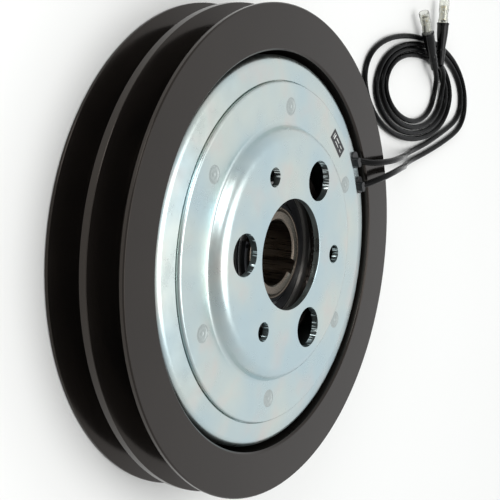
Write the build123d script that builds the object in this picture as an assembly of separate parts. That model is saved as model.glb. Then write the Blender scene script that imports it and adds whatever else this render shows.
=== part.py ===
"""Electromagnetic belt-pulley clutch for an engine-driven pump or compressor.

Millimetres. +Z runs along the shaft axis from the armature side to the mounting-plate side. The origin is on the
axis, in the plane of the pulley's front rim, which the clutch stands on.
"""

from build123d import *
import math
import os

# ---- driving dimensions ---------------------------------------------------------------------------------------

# Belt pulley (rotor): two B-section grooves in the rim, one friction wall inside
pulley_d = 214.0
groove_count = 2
groove_pitch = 19.05
groove_top = 15.7
groove_depth = 14.0
groove_angle = 38.0
front_land = 1.65
rear_land = 2.0
rim_chamfer = 0.5
recess_chamfer = 0.8
rear_recess_d = 174.0
front_recess_d = 176.0
friction_face_z = 9.4
friction_wall = 7.0
web_boss_d = 84.0
web_boss_proud = 1.2
flux_slot_count = 6
flux_slot_d = 140.0
flux_slot_width = 5.0
flux_slot_arc = 44.0

# Bearing: double-row ball bearing 40 x 66 x 24
bearing_bore = 40.0
bearing_od = 66.0
bearing_width = 24.0
bearing_front_z = 10.6
inner_ring_wall = 4.6
outer_ring_wall = 3.4
ball_d = 7.0
ball_play = 0.06
balls_per_row = 13
row_spacing = 11.0
cage_wall = 1.8
cage_width = 8.6
pocket_play = 0.12
seal_thickness = 1.0
seal_inset = 0.6
seal_lip_gap = 0.3
housing_wall = 8.0
housing_lip = 3.0
housing_end_land = 2.15

# Retaining rings
hub_ring_thickness = 1.75
hub_ring_seat = 1.25
hub_ring_height = 3.4
bore_ring_thickness = 2.5
bore_ring_seat = 1.5
bore_ring_height = 3.6
ring_groove_play = 0.1
ring_gap_arc = 22.0
ring_eye_d = 2.0

# Hub: keyed sleeve for a 1-1/8 in shaft with a 1/4 in key
shaft_d = 28.575
key_width = 6.35
key_top = 17.1
key_azimuth = 70.0
hub_front_z = 1.2
hub_end_land = 1.95
hub_end_chamfer = 2.0
bore_chamfer = 0.7
shoulder_d = 48.0
spigot_d = 36.0

# Armature and its spring drive, at the front
air_gap = 0.8
armature_thickness = 4.8
armature_d = 170.0
armature_bore = 90.0
armature_slot_d = 150.0
armature_slot_width = 4.0
armature_slot_arc = 42.0
spring_thickness = 0.8
spring_width = 14.0
spring_count = 3
spring_azimuth = 30.0
hub_rivet_circle = 64.0
armature_rivet_circle = 132.0
spring_sweep = 52.0
rivet_shank_d = 6.0
rivet_head_d = 9.0
rivet_head = 1.1
rivet_tail = 0.7
rivet_tail_d = 8.0
countersink_d = 8.6
countersink_depth = 1.6
armature_rivet_recess = 0.4
drive_flange_thickness = 3.0
drive_flange_d = 80.0
stop_plate_thickness = 1.5
stop_plate_d = 76.0
stop_arm_width = 16.0
bumper_circle = 112.0
bumper_d = 10.0
bumper_stem_d = 5.0
bumper_head_d = 8.0
bumper_head = 0.9
stop_gap = 0.1
spigot_play = 0.15

# Field: U-section coil shell closed with a domed mounting plate
field_air_gap = 1.2
shell_d = 170.4
shell_bore = 111.0
shell_rear_drop = 0.1
shell_rear_fall = 1.9
shell_corner = 4.0
pole_wall = 5.0
shell_back = 6.55
plate_thickness = 3.0
plate_d = 148.0
plate_fit = 0.3
plate_seat_depth = 1.25
plate_edge_round = 1.2
dome_rise = 6.35
dome_top_d = 106.0
dome_base_d = 111.0
dome_top_round = 6.0
dome_base_round = 2.0
pilot_d = 48.2
hole_circle = 75.0
bolt_hole_d = 8.4
bolt_hole_azimuth = 93.7
access_hole_d = 18.0
access_hole_azimuth = 33.7
hole_count = 3
weld_inset = 10.5
weld_d = 7.8
weld_depth = 0.15
weld_azimuth = 3.7
weld_count = 6
bobbin_wall = 1.2
bobbin_play = 0.15
winding_inset = 0.9
potting_depth = 1.5
potting_drop = 0.3

# Rating label, on the plate beside the leads
label_length = 13.5
label_width = 5.6
label_thickness = 0.12
label_inset = 6.8
label_azimuth = 142.4

# Leads, their grommets and their insulated connectors
lead_d = 3.0
grommet_inset = 5.2
grommet_length = 8.4
grommet_width = 5.2
grommet_proud = 0.1
grommet_depth = 3.4
hood_width = 5.2
hood_length = 2.8
hood_height = 3.6
hood_back = 3.4
hood_round = 1.2
lead_hole_inset = 6.8
boot_length = 24.5
boot_neck_d = 5.0
boot_mouth_d = 7.2
boot_wall = 0.8
sleeve_d = 6.0
sleeve_wall = 0.5
sleeve_length = 21.0
sleeve_proud = 13.0
terminal_d = 4.4
terminal_length = 18.0
terminal_bore = 3.0
terminal_proud = 10.0

# Each lead's free stretch, from its grommet to the loops that it lies in
lead_a_exit = (-47.8, 63.5, 40.0)
lead_a_route = [
    lead_a_exit,
    (-47.6, 70.0, 42.4),
    (-49.0, 79.5, 44.2),
    (-51.2, 91.0, 44.2),
    (-54.2, 104.5, 41.8),
    (-57.2, 124.0, 34.4),
    (-59.4, 149.0, 23.0),
    (-62.4, 175.0, 10.2),
    (-66.5, 197.0, 2.0),
    (-73.6, 218.0, 1.6),
    (-82.6, 238.0, 1.6),
    (-90.6, 254.0, 1.6),
    (-96.6, 261.6, 1.6),
]
lead_b_exit = (-36.6, 70.3, 40.0)
lead_b_route = [
    lead_b_exit,
    (-39.2, 76.2, 42.4),
    (-42.5, 84.5, 44.2),
    (-45.9, 94.5, 44.0),
    (-49.1, 107.5, 41.0),
    (-51.6, 126.0, 33.6),
    (-53.6, 150.0, 22.6),
    (-56.6, 175.0, 10.4),
    (-61.0, 198.0, 2.0),
    (-69.0, 221.0, 1.6),
    (-78.0, 243.0, 1.6),
    (-86.4, 260.5, 1.6),
    (-93.4, 268.6, 1.6),
]

# The loops that both leads lie in, as one ring with an open middle
loops_centre = (-103.5, 201.6)
loops_outer = (71.4, 32.4)
loops_inner = (31.0, 18.0)
loops_inner_centre = (-103.5, 190.5)
loops_height = 3.4

# Each connector: the boot's neck, and a point that the connector points at
connector_a_neck = (-117.3, 210.6, 6.2)
connector_a_aim = (-134.4, 195.1, 6.8)
connector_b_neck = (-120.9, 217.3, 6.2)
connector_b_aim = (-145.0, 213.6, 6.8)

# ---- worked-out places ----------------------------------------------------------------------------------------

pulley_r = pulley_d / 2
pulley_width = front_land + groove_pitch * (groove_count - 1) + groove_top + rear_land
friction_rear_z = friction_face_z + friction_wall
bearing_rear_z = bearing_front_z + bearing_width
pitch_r = (bearing_bore / 2 + inner_ring_wall + bearing_od / 2 - outer_ring_wall) / 2
housing_r = bearing_od / 2 + housing_wall
housing_end_z = bearing_rear_z + bore_ring_thickness + ring_groove_play + housing_end_land
hub_end_z = bearing_rear_z + hub_ring_thickness + ring_groove_play + hub_end_land
armature_rear_z = friction_face_z - air_gap
armature_front_z = armature_rear_z - armature_thickness
spring_front_z = armature_front_z - spring_thickness
stop_front_z = spring_front_z - stop_plate_thickness
flange_rear_z = armature_front_z + drive_flange_thickness
shell_front_z = friction_rear_z + field_air_gap
shell_rear_z = pulley_width - shell_rear_drop
plate_under_z = shell_rear_z - plate_seat_depth
plate_rear_z = plate_under_z + plate_thickness
cavity_end_z = plate_under_z - shell_back
dome_top_z = plate_rear_z + dome_rise
cavity_inner_r = shell_bore / 2 + pole_wall
cavity_outer_r = shell_d / 2 - pole_wall
weld_circle_r = plate_d / 2 - weld_inset
label_circle_r = plate_d / 2 - label_inset
grommet_r = shell_d / 2 - grommet_inset
grommet_z = shell_rear_z + grommet_proud
lead_hole_r = shell_d / 2 - lead_hole_inset


# ---- helpers --------------------------------------------------------------------------------------------------

def turned(points, rounds=()):
    """Solid of revolution about Z. points are (radius, z); rounds are (radius, z, fillet) at corners."""
    face = make_face(Plane.XZ * Polyline(*points, close=True))
    for r, z, size in rounds:
        corner = face.vertices().sort_by_distance((r, 0, z))[0]
        face = fillet(corner, size)
    return revolve(face, Axis.Z)


def ring(inner_r, outer_r, low_z, high_z):
    """Plain ring about Z."""
    return turned([(inner_r, low_z), (outer_r, low_z), (outer_r, high_z), (inner_r, high_z)])


def polar(radius, azimuth, z=0.0):
    """Point at a radius and azimuth about Z."""
    angle = math.radians(azimuth)
    return Vector(radius * math.cos(angle), radius * math.sin(angle), z)


def disc(centre, diameter, height):
    """Upright cylinder standing on centre."""
    return Pos(*centre) * extrude(Circle(diameter / 2), height)


def azimuths(count, first):
    """Evenly spaced azimuths, in degrees."""
    return [first + 360.0 * k / count for k in range(count)]


def arc_slot(radius, width, arc_degrees, azimuth, low_z, high_z):
    """Curved slot about Z, as a solid to cut with."""
    centre_line = CenterArc((0, 0), radius, azimuth - arc_degrees / 2, arc_degrees)
    return Pos(0, 0, low_z) * extrude(SlotArc(centre_line, width), high_z - low_z)


def several(solids):
    """Separate solids in one node."""
    return Compound(children=list(solids))


# ---- pulley body ----------------------------------------------------------------------------------------------

def groove_outline():
    """Rim outline from the front land to the rear land, with the V grooves."""
    half_flat = groove_top / 2 - groove_depth * math.tan(math.radians(groove_angle / 2))
    points = []
    for k in range(groove_count):
        middle = front_land + groove_top / 2 + groove_pitch * k
        points.append((pulley_r, middle - groove_top / 2))
        points.append((pulley_r - groove_depth, middle - half_flat))
        points.append((pulley_r - groove_depth, middle + half_flat))
        points.append((pulley_r, middle + groove_top / 2))
    return points


def rotor_pulley():
    """Grooved rim, friction wall and bearing housing in one casting."""
    recess_r = rear_recess_d / 2
    front_r = front_recess_d / 2
    boss_r = web_boss_d / 2
    seat_r = bearing_od / 2
    boss_z = friction_face_z - web_boss_proud
    points = [
        (seat_r - housing_lip, boss_z),
        (boss_r, boss_z),
        (boss_r, friction_face_z),
        (front_r, friction_face_z),
        (front_r, recess_chamfer),
        (front_r + recess_chamfer, 0),
        (pulley_r - rim_chamfer, 0),
        (pulley_r, rim_chamfer),
        *groove_outline(),
        (pulley_r, pulley_width - rim_chamfer),
        (pulley_r - rim_chamfer, pulley_width),
        (recess_r + recess_chamfer, pulley_width),
        (recess_r, pulley_width - recess_chamfer),
        (recess_r, friction_rear_z),
        (housing_r, friction_rear_z),
        (housing_r, housing_end_z - recess_chamfer),
        (housing_r - recess_chamfer, housing_end_z),
        (seat_r, housing_end_z),
        (seat_r, bearing_front_z),
        (seat_r - housing_lip, bearing_front_z),
    ]
    body = turned(points)
    body -= ring(
        seat_r - 1,
        seat_r + bore_ring_seat,
        bearing_rear_z,
        bearing_rear_z + bore_ring_thickness + ring_groove_play,
    )
    for azimuth in azimuths(flux_slot_count, 0):
        body -= arc_slot(
            flux_slot_d / 2,
            flux_slot_width,
            flux_slot_arc,
            azimuth,
            friction_face_z - 1,
            friction_rear_z + 1,
        )
    return body


def row_heights():
    """Height of each ball row's centre."""
    middle = bearing_front_z + bearing_width / 2
    return [middle - row_spacing / 2, middle + row_spacing / 2]


def raceways():
    """Both ball tracks, as solids to cut the bearing rings with."""
    return [Pos(0, 0, z) * Torus(pitch_r, ball_d / 2 + ball_play) for z in row_heights()]


def bearing_outer_ring():
    body = ring(bearing_od / 2 - outer_ring_wall, bearing_od / 2, bearing_front_z, bearing_rear_z)
    return body - raceways()


def bearing_inner_ring():
    body = ring(bearing_bore / 2, bearing_bore / 2 + inner_ring_wall, bearing_front_z, bearing_rear_z)
    return body - raceways()


def bearing_seals():
    """Rubber lip seals in both ends of the outer ring."""
    inner_r = bearing_bore / 2 + inner_ring_wall + seal_lip_gap
    outer_r = bearing_od / 2 - outer_ring_wall
    front = bearing_front_z + seal_inset
    rear = bearing_rear_z - seal_inset - seal_thickness
    return several(ring(inner_r, outer_r, z, z + seal_thickness) for z in (front, rear))


def ball_azimuths():
    """Azimuth of each ball in a row."""
    return azimuths(balls_per_row, 180 / balls_per_row)


def bearing_balls():
    """Both rows of balls."""
    places = [polar(pitch_r, azimuth, z) for z in row_heights() for azimuth in ball_azimuths()]
    return several(Pos(*place) * Sphere(ball_d / 2) for place in places)


def bearing_cages():
    """One ring for each row, with a round pocket for each ball."""
    pocket = Rot(0, 90, 0) * Cylinder(ball_d / 2 + pocket_play, 2 * cage_wall)
    cages = []
    for z in row_heights():
        cage = ring(pitch_r - cage_wall / 2, pitch_r + cage_wall / 2, z - cage_width / 2, z + cage_width / 2)
        cage -= [Pos(*polar(pitch_r, azimuth, z)) * Rot(0, 0, azimuth) * pocket for azimuth in ball_azimuths()]
        cages.append(cage.solid())
    return several(cages)


def open_ring(inner_r, outer_r, low_z, thickness, eye_r):
    """Retaining ring with a gap and an eye at each end of it."""
    body = ring(inner_r, outer_r, low_z, low_z + thickness)
    gap = Rot(0, 0, -ring_gap_arc / 2) * extrude(
        make_face(Polyline((0, 0), polar(2 * outer_r, 0), polar(2 * outer_r, ring_gap_arc), close=True)),
        thickness,
    )
    body -= Pos(0, 0, low_z) * gap
    for azimuth in (-ring_gap_arc / 2 - 5, ring_gap_arc / 2 + 5):
        body -= disc(polar(eye_r, azimuth, low_z), ring_eye_d, thickness)
    return body


def bearing_retaining_ring():
    """Internal ring that holds the bearing's outer ring in the housing."""
    outer_r = bearing_od / 2 + bore_ring_seat - ring_groove_play
    inner_r = outer_r - bore_ring_height
    eye_r = (inner_r + bearing_od / 2) / 2
    return Rot(0, 0, 200) * open_ring(inner_r, outer_r, bearing_rear_z, bore_ring_thickness, eye_r)


# ---- hub body -------------------------------------------------------------------------------------------------

def hub_sleeve():
    """Keyed sleeve: spigot for the drive flange, shoulder, bearing seat and ring groove."""
    bore_r = shaft_d / 2
    seat_r = bearing_bore / 2
    points = [
        (bore_r, hub_front_z + bore_chamfer),
        (bore_r + bore_chamfer, hub_front_z),
        (spigot_d / 2, hub_front_z),
        (spigot_d / 2, flange_rear_z),
        (shoulder_d / 2, flange_rear_z),
        (shoulder_d / 2, bearing_front_z),
        (seat_r, bearing_front_z),
        (seat_r, hub_end_z - hub_end_chamfer),
        (seat_r - hub_end_chamfer, hub_end_z),
        (bore_r + bore_chamfer, hub_end_z),
        (bore_r, hub_end_z - bore_chamfer),
    ]
    body = turned(points)
    body -= ring(
        seat_r - hub_ring_seat,
        seat_r + 1,
        bearing_rear_z,
        bearing_rear_z + hub_ring_thickness + ring_groove_play,
    )
    key_box = Box(key_top, key_width, hub_end_z + 2, align=(Align.MIN, Align.CENTER, Align.MIN))
    return body - Rot(0, 0, key_azimuth) * key_box


def hub_retaining_ring():
    """External ring that holds the bearing's inner ring on the hub."""
    inner_r = bearing_bore / 2 - hub_ring_seat + ring_groove_play
    outer_r = inner_r + hub_ring_height
    eye_r = (outer_r + bearing_bore / 2) / 2
    return Rot(0, 0, 250) * open_ring(inner_r, outer_r, bearing_rear_z, hub_ring_thickness, eye_r)


def hub_rivet_holes(low_z, high_z):
    """Shanks of the rivets that join springs, stop plate and drive flange."""
    return [
        disc(polar(hub_rivet_circle / 2, azimuth, low_z), rivet_shank_d, high_z - low_z)
        for azimuth in azimuths(spring_count, spring_azimuth)
    ]


def drive_flange():
    """Disc pressed on the hub's spigot; the springs are riveted to its front face."""
    body = ring(spigot_d / 2, drive_flange_d / 2, armature_front_z, flange_rear_z)
    return body - hub_rivet_holes(armature_front_z, flange_rear_z)


def stop_plate():
    """Plate with an arm over the armature at each bumper."""
    body = ring(spigot_d / 2 + spigot_play, stop_plate_d / 2, stop_front_z, spring_front_z)
    arm = extrude(SlotCenterToCenter(bumper_circle / 4, stop_arm_width), stop_plate_thickness)
    for azimuth in azimuths(spring_count, spring_azimuth):
        body += Rot(0, 0, azimuth) * Pos(bumper_circle * 3 / 8, 0, stop_front_z) * arm
        body -= disc(polar(bumper_circle / 2, azimuth, stop_front_z), bumper_stem_d, stop_plate_thickness)
    return body - hub_rivet_holes(stop_front_z, spring_front_z)


def stop_bumpers():
    """Rubber buttons, each snapped through a stop-plate arm, that the armature rests on."""
    bumpers = []
    for azimuth in azimuths(spring_count, spring_azimuth):
        pad_top = armature_front_z - stop_gap
        pad = disc(polar(bumper_circle / 2, azimuth, spring_front_z), bumper_d, pad_top - spring_front_z)
        stem = disc(polar(bumper_circle / 2, azimuth, stop_front_z), bumper_stem_d, stop_plate_thickness)
        head = disc(polar(bumper_circle / 2, azimuth, stop_front_z - bumper_head), bumper_head_d, bumper_head)
        bumpers.append(pad + stem + head)
    return several(bumpers)


def hub_rivets():
    """Rivets through stop plate, springs and drive flange."""
    rivets = []
    for azimuth in azimuths(spring_count, spring_azimuth):
        head = disc(polar(hub_rivet_circle / 2, azimuth, stop_front_z - rivet_head), rivet_head_d, rivet_head)
        shank_foot = polar(hub_rivet_circle / 2, azimuth, stop_front_z)
        shank = disc(shank_foot, rivet_shank_d, flange_rear_z - stop_front_z)
        tail = disc(polar(hub_rivet_circle / 2, azimuth, flange_rear_z), rivet_tail_d, rivet_tail)
        rivets.append(head + shank + tail)
    return several(rivets)


def spring_ends(azimuth):
    """Rivet places at the hub end and the armature end of one spring."""
    return polar(hub_rivet_circle / 2, azimuth), polar(armature_rivet_circle / 2, azimuth + spring_sweep)


def leaf_springs():
    """Flat straps from the drive flange to the armature, one for each rivet pair."""
    straps = []
    for azimuth in azimuths(spring_count, spring_azimuth):
        inner, outer = spring_ends(azimuth)
        run = outer - inner
        turn = math.degrees(math.atan2(run.Y, run.X))
        middle = (inner + outer) * 0.5
        blank = extrude(SlotCenterToCenter(run.length, spring_width), spring_thickness)
        strap = Pos(middle.X, middle.Y, spring_front_z) * Rot(0, 0, turn) * blank
        for end in (inner, outer):
            strap -= disc((end.X, end.Y, spring_front_z), rivet_shank_d, spring_thickness)
        straps.append(strap)
    return several(straps)


# ---- armature body --------------------------------------------------------------------------------------------

def armature_rivet_places():
    """Azimuth of each rivet that joins a spring to the armature."""
    return [azimuth + spring_sweep for azimuth in azimuths(spring_count, spring_azimuth)]


def armature_plate():
    """Steel disc that the coil pulls against the friction wall."""
    body = ring(armature_bore / 2, armature_d / 2, armature_front_z, armature_rear_z)
    for azimuth in azimuths(flux_slot_count, 360 / flux_slot_count / 2):
        body -= arc_slot(
            armature_slot_d / 2,
            armature_slot_width,
            armature_slot_arc,
            azimuth,
            armature_front_z - 1,
            armature_rear_z + 1,
        )
    for azimuth in armature_rivet_places():
        foot = polar(armature_rivet_circle / 2, azimuth, armature_front_z)
        body -= disc(foot, rivet_shank_d, armature_thickness)
        sink = polar(armature_rivet_circle / 2, azimuth, armature_rear_z - countersink_depth)
        body -= disc(sink, countersink_d, countersink_depth)
    return body


def armature_rivets():
    """Rivets through the springs' outer ends, set below the armature's working face."""
    rivets = []
    for azimuth in armature_rivet_places():
        centre = armature_rivet_circle / 2
        head = disc(polar(centre, azimuth, spring_front_z - rivet_head), rivet_head_d, rivet_head)
        sink_z = armature_rear_z - countersink_depth
        shank = disc(polar(centre, azimuth, spring_front_z), rivet_shank_d, sink_z - spring_front_z)
        tail_height = countersink_depth - armature_rivet_recess
        tail = disc(polar(centre, azimuth, sink_z), countersink_d, tail_height)
        rivets.append(head + shank + tail)
    return several(rivets)


# ---- field body -----------------------------------------------------------------------------------------------

def shell_envelope():
    """Outer form of the coil shell with no cavity: its rear face falls outwards to a rounded corner."""
    outer_r = shell_d / 2
    corner_z = shell_rear_z - shell_rear_fall
    return turned(
        [
            (shell_bore / 2, shell_front_z),
            (outer_r, shell_front_z),
            (outer_r, corner_z),
            (plate_d / 2 + plate_fit, shell_rear_z),
            (plate_d / 2 + plate_fit, plate_under_z),
            (shell_bore / 2, plate_under_z),
        ],
        rounds=[(outer_r, corner_z, shell_corner)],
    )


def lead_azimuths():
    """Azimuth of each grommet: where its lead leaves."""
    return [math.degrees(math.atan2(y, x)) for x, y, z in (lead_a_exit, lead_b_exit)]


def grommet_block(azimuth):
    """Oval block of one grommet, from the floor of its pocket to its proud rim."""
    block = extrude(SlotOverall(grommet_length, grommet_width, rotation=90), grommet_depth)
    return Rot(0, 0, azimuth) * Pos(grommet_r, 0, grommet_z - grommet_depth) * block


def coil_shell():
    """U-section steel shell, open towards the friction wall, with a seat for the plate and two lead pockets."""
    body = shell_envelope() - ring(cavity_inner_r, cavity_outer_r, shell_front_z, cavity_end_z)
    for azimuth in lead_azimuths():
        body -= grommet_block(azimuth)
        body -= disc(polar(lead_hole_r, azimuth, cavity_end_z - 1), lead_d, plate_under_z - cavity_end_z)
    return body


def coil_bobbin():
    """Nylon former: inner tube and two flanges, open outwards."""
    inner_r = cavity_inner_r + bobbin_play
    outer_r = cavity_outer_r - bobbin_play
    low_z = shell_front_z + potting_drop + potting_depth
    tube_r = inner_r + bobbin_wall
    return turned(
        [
            (inner_r, low_z),
            (outer_r, low_z),
            (outer_r, low_z + bobbin_wall),
            (tube_r, low_z + bobbin_wall),
            (tube_r, cavity_end_z - bobbin_wall),
            (outer_r, cavity_end_z - bobbin_wall),
            (outer_r, cavity_end_z),
            (inner_r, cavity_end_z),
        ]
    )


def coil_winding():
    """Copper winding, as the ring that it fills in the bobbin."""
    low_z = shell_front_z + potting_drop + potting_depth + bobbin_wall
    tube_r = cavity_inner_r + bobbin_play + bobbin_wall
    return ring(tube_r, cavity_outer_r - bobbin_play - winding_inset, low_z, cavity_end_z - bobbin_wall)


def coil_potting():
    """Resin that closes the shell's open side."""
    low_z = shell_front_z + potting_drop
    return ring(cavity_inner_r, cavity_outer_r, low_z, low_z + potting_depth)


def dome_line(radii, offset):
    """One side of the plate's section, offset inwards from the outer surface."""
    slope = (dome_base_d - dome_top_d) / 2 / dome_rise
    shift = offset * math.hypot(1, slope)
    top_r = dome_top_d / 2 + slope * offset - shift
    base_r = dome_base_d / 2 + slope * offset - shift
    points = [
        (pilot_d / 2, dome_top_z - offset),
        (top_r, dome_top_z - offset),
        (base_r, plate_rear_z - offset),
        (plate_d / 2, plate_rear_z - offset),
    ]
    return FilletPolyline(*points, radius=radii)


def mounting_plate():
    """Domed plate with pilot hole, bolt holes, access holes and weld dimples."""
    outer = dome_line([dome_top_round, dome_base_round], 0)
    under = dome_line([dome_top_round - plate_thickness, dome_base_round + plate_thickness], plate_thickness)
    ends = [Line(outer @ 0, under @ 0), Line(outer @ 1, under @ 1)]
    section = Plane.XZ * make_face([*outer.edges(), *under.edges(), *ends])
    body = revolve(section, Axis.Z)
    rim = body.edges().filter_by(GeomType.CIRCLE).sort_by(lambda edge: edge.radius)[-2:].sort_by(Axis.Z)[-1]
    body = fillet(rim, plate_edge_round)
    drill = dome_rise + plate_thickness
    for azimuth in azimuths(hole_count, bolt_hole_azimuth):
        body -= disc(polar(hole_circle / 2, azimuth, plate_under_z), bolt_hole_d, drill)
    for azimuth in azimuths(hole_count, access_hole_azimuth):
        body -= disc(polar(hole_circle / 2, azimuth, plate_under_z), access_hole_d, drill)
    for azimuth in azimuths(weld_count, weld_azimuth):
        body -= disc(polar(weld_circle_r, azimuth, plate_rear_z - weld_depth), weld_d, weld_depth)
    return body


def rating_label():
    """Small printed label, its long side along the plate's edge."""
    place = polar(label_circle_r, label_azimuth, plate_rear_z)
    blank = extrude(Rectangle(label_width, label_length), label_thickness)
    return Pos(*place) * Rot(0, 0, label_azimuth) * blank


def grommet(azimuth):
    """Oval rubber grommet in the shell's pocket with a hood that the lead comes out of."""
    hood = Box(hood_length, hood_width, hood_height, align=(Align.MIN, Align.CENTER, Align.MIN))
    hood = fillet(hood.edges().group_by(Axis.Z)[-1], hood_round)
    return grommet_block(azimuth) + Rot(0, 0, azimuth) * Pos(grommet_r - hood_back, 0, grommet_z) * hood


def lead_grommets():
    """One grommet for each lead."""
    return several(grommet(azimuth).solid() for azimuth in lead_azimuths())


def lead_tube(name, route):
    """Lead along its route: straight runs joined by the largest arcs that they allow."""
    points = [Vector(*point) for point in route]
    radii = []
    for before, corner, after in zip(points, points[1:], points[2:]):
        turn = (corner - before).get_angle(after - corner)
        shorter = min((corner - before).length, (after - corner).length)
        radii.append(0.45 * shorter / math.tan(math.radians(turn / 2)))
    print(name, "radii", [round(radius, 1) for radius in radii])
    path = FilletPolyline(*points, radius=radii)
    section = Plane(origin=path @ 0, z_dir=path % 0) * Circle(lead_d / 2)
    tube = sweep(section, path=path)
    expected = math.pi * lead_d**2 / 4 * path.length
    print(name, "length", round(path.length, 1), "volume/expected", round(tube.volume / expected, 4))
    return tube


def lead_a():
    return lead_tube("lead_a", lead_a_route)


def lead_b():
    return lead_tube("lead_b", lead_b_route)


def lead_loops():
    """Outer form of the loops that both leads lie in."""
    outer = Pos(*loops_centre) * Ellipse(loops_outer[1], loops_outer[0])
    inner = Pos(*loops_inner_centre) * Ellipse(loops_inner[1], loops_inner[0])
    return extrude(outer - inner, loops_height)


def connector_place(neck, aim):
    """Plane at a boot's neck that looks along the connector."""
    return Plane(origin=neck, z_dir=Vector(*aim) - Vector(*neck))


def boot(neck, aim):
    """Flared boot, hollow where it takes the sleeve."""
    neck_r = boot_neck_d / 2
    mouth_r = boot_mouth_d / 2
    bore_end = boot_length - (sleeve_length - sleeve_proud)
    points = [
        (0, 0),
        (neck_r, 0),
        (neck_r, boot_length / 3),
        (mouth_r, boot_length - boot_wall),
        (mouth_r, boot_length),
        (sleeve_d / 2, boot_length),
        (sleeve_d / 2, bore_end),
        (0, bore_end),
    ]
    return connector_place(neck, aim) * turned(points)


def sleeve(neck, aim):
    """Clear insulating sleeve round the terminal."""
    start = boot_length - (sleeve_length - sleeve_proud)
    return connector_place(neck, aim) * ring(sleeve_d / 2 - sleeve_wall, sleeve_d / 2, start, start + sleeve_length)


def terminal(neck, aim):
    """Barrel terminal, standing in the sleeve."""
    start = boot_length + terminal_proud - terminal_length
    outer_r = terminal_d / 2
    points = [
        (0, start),
        (outer_r, start),
        (outer_r, start + terminal_length),
        (terminal_bore / 2, start + terminal_length),
        (terminal_bore / 2, start + terminal_length / 2),
        (0, start + terminal_length / 2),
    ]
    return connector_place(neck, aim) * turned(points)


# ---- write the nodes ------------------------------------------------------------------------------------------

nodes = {
    "mounting_plate": mounting_plate(),
    "coil_shell": coil_shell(),
    "coil_bobbin": coil_bobbin(),
    "coil_winding": coil_winding(),
    "coil_potting": coil_potting(),
    "rating_label": rating_label(),
    "lead_grommets": lead_grommets(),
    "lead_a": lead_a(),
    "lead_b": lead_b(),
    "lead_loops": lead_loops(),
    "boot_a": boot(connector_a_neck, connector_a_aim),
    "boot_b": boot(connector_b_neck, connector_b_aim),
    "sleeve_a": sleeve(connector_a_neck, connector_a_aim),
    "sleeve_b": sleeve(connector_b_neck, connector_b_aim),
    "terminal_a": terminal(connector_a_neck, connector_a_aim),
    "terminal_b": terminal(connector_b_neck, connector_b_aim),
    "hub_sleeve": hub_sleeve(),
    "hub_retaining_ring": hub_retaining_ring(),
    "bearing_inner_ring": bearing_inner_ring(),
    "drive_flange": drive_flange(),
    "stop_plate": stop_plate(),
    "stop_bumpers": stop_bumpers(),
    "hub_rivets": hub_rivets(),
    "leaf_springs": leaf_springs(),
    "armature_plate": armature_plate(),
    "armature_rivets": armature_rivets(),
    "rotor_pulley": rotor_pulley(),
    "bearing_outer_ring": bearing_outer_ring(),
    "bearing_seals": bearing_seals(),
    "bearing_retaining_ring": bearing_retaining_ring(),
    "bearing_balls": bearing_balls(),
    "bearing_cages": bearing_cages(),
}

os.makedirs("parts", exist_ok=True)
for name, shape in nodes.items():
    export_step(shape, f"parts/{name}.step")
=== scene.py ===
"""Electromagnetic belt-pulley clutch: its finished surfaces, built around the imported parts.

Metres, in the row frame: +Z runs along the shaft axis towards the mounting plate, and the pulley's front rim
stands on z = 0. Sizes that a maker would read off a drawing are given in millimetres and turned by mm().
"""

import math

import bmesh
import bpy
from mathutils import Matrix, Vector


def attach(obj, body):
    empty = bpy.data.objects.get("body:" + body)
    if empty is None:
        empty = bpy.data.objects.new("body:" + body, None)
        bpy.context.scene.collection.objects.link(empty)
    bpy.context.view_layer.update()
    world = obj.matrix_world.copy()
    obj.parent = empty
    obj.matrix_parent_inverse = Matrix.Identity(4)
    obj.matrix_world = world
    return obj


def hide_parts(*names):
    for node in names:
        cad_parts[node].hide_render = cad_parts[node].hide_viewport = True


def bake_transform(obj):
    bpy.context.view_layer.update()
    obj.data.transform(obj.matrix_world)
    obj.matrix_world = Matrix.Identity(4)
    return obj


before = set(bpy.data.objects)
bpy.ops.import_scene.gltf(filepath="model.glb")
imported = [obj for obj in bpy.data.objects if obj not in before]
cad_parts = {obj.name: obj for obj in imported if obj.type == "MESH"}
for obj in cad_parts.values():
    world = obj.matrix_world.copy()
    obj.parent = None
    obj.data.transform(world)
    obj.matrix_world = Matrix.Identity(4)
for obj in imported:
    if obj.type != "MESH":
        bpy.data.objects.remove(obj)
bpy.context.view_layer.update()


def mm(value):
    """Millimetres to metres."""
    return value * 0.001


# ---- sizes of the turned and pressed parts, in millimetres ---------------------------------------

PULLEY_R = 107.0
REAR_FACE = 38.4
FRICTION_FACE = 9.4
FRICTION_REAR = 16.4
GROOVE_PITCH = 19.05
GROOVE_TOP = 15.7
GROOVE_DEPTH = 14.0
GROOVE_HALF_ANGLE = 19.0
FRONT_LAND = 1.65
RECESS_R = 87.0
FRONT_RECESS_R = 88.0
HOUSING_R = 41.0
HOUSING_END = 39.35
BEARING_R = 33.0
BEARING_FRONT = 10.6
BEARING_REAR = 34.6
BORE_RING_GROOVE = 2.6
BORE_RING_DEPTH = 1.5
WEB_BOSS_R = 42.0
WEB_BOSS_FACE = 8.2
FLUX_SLOTS = 6
FLUX_SLOT_R = 70.0
FLUX_SLOT_WIDTH = 5.0
FLUX_SLOT_ARC = 44.0

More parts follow.
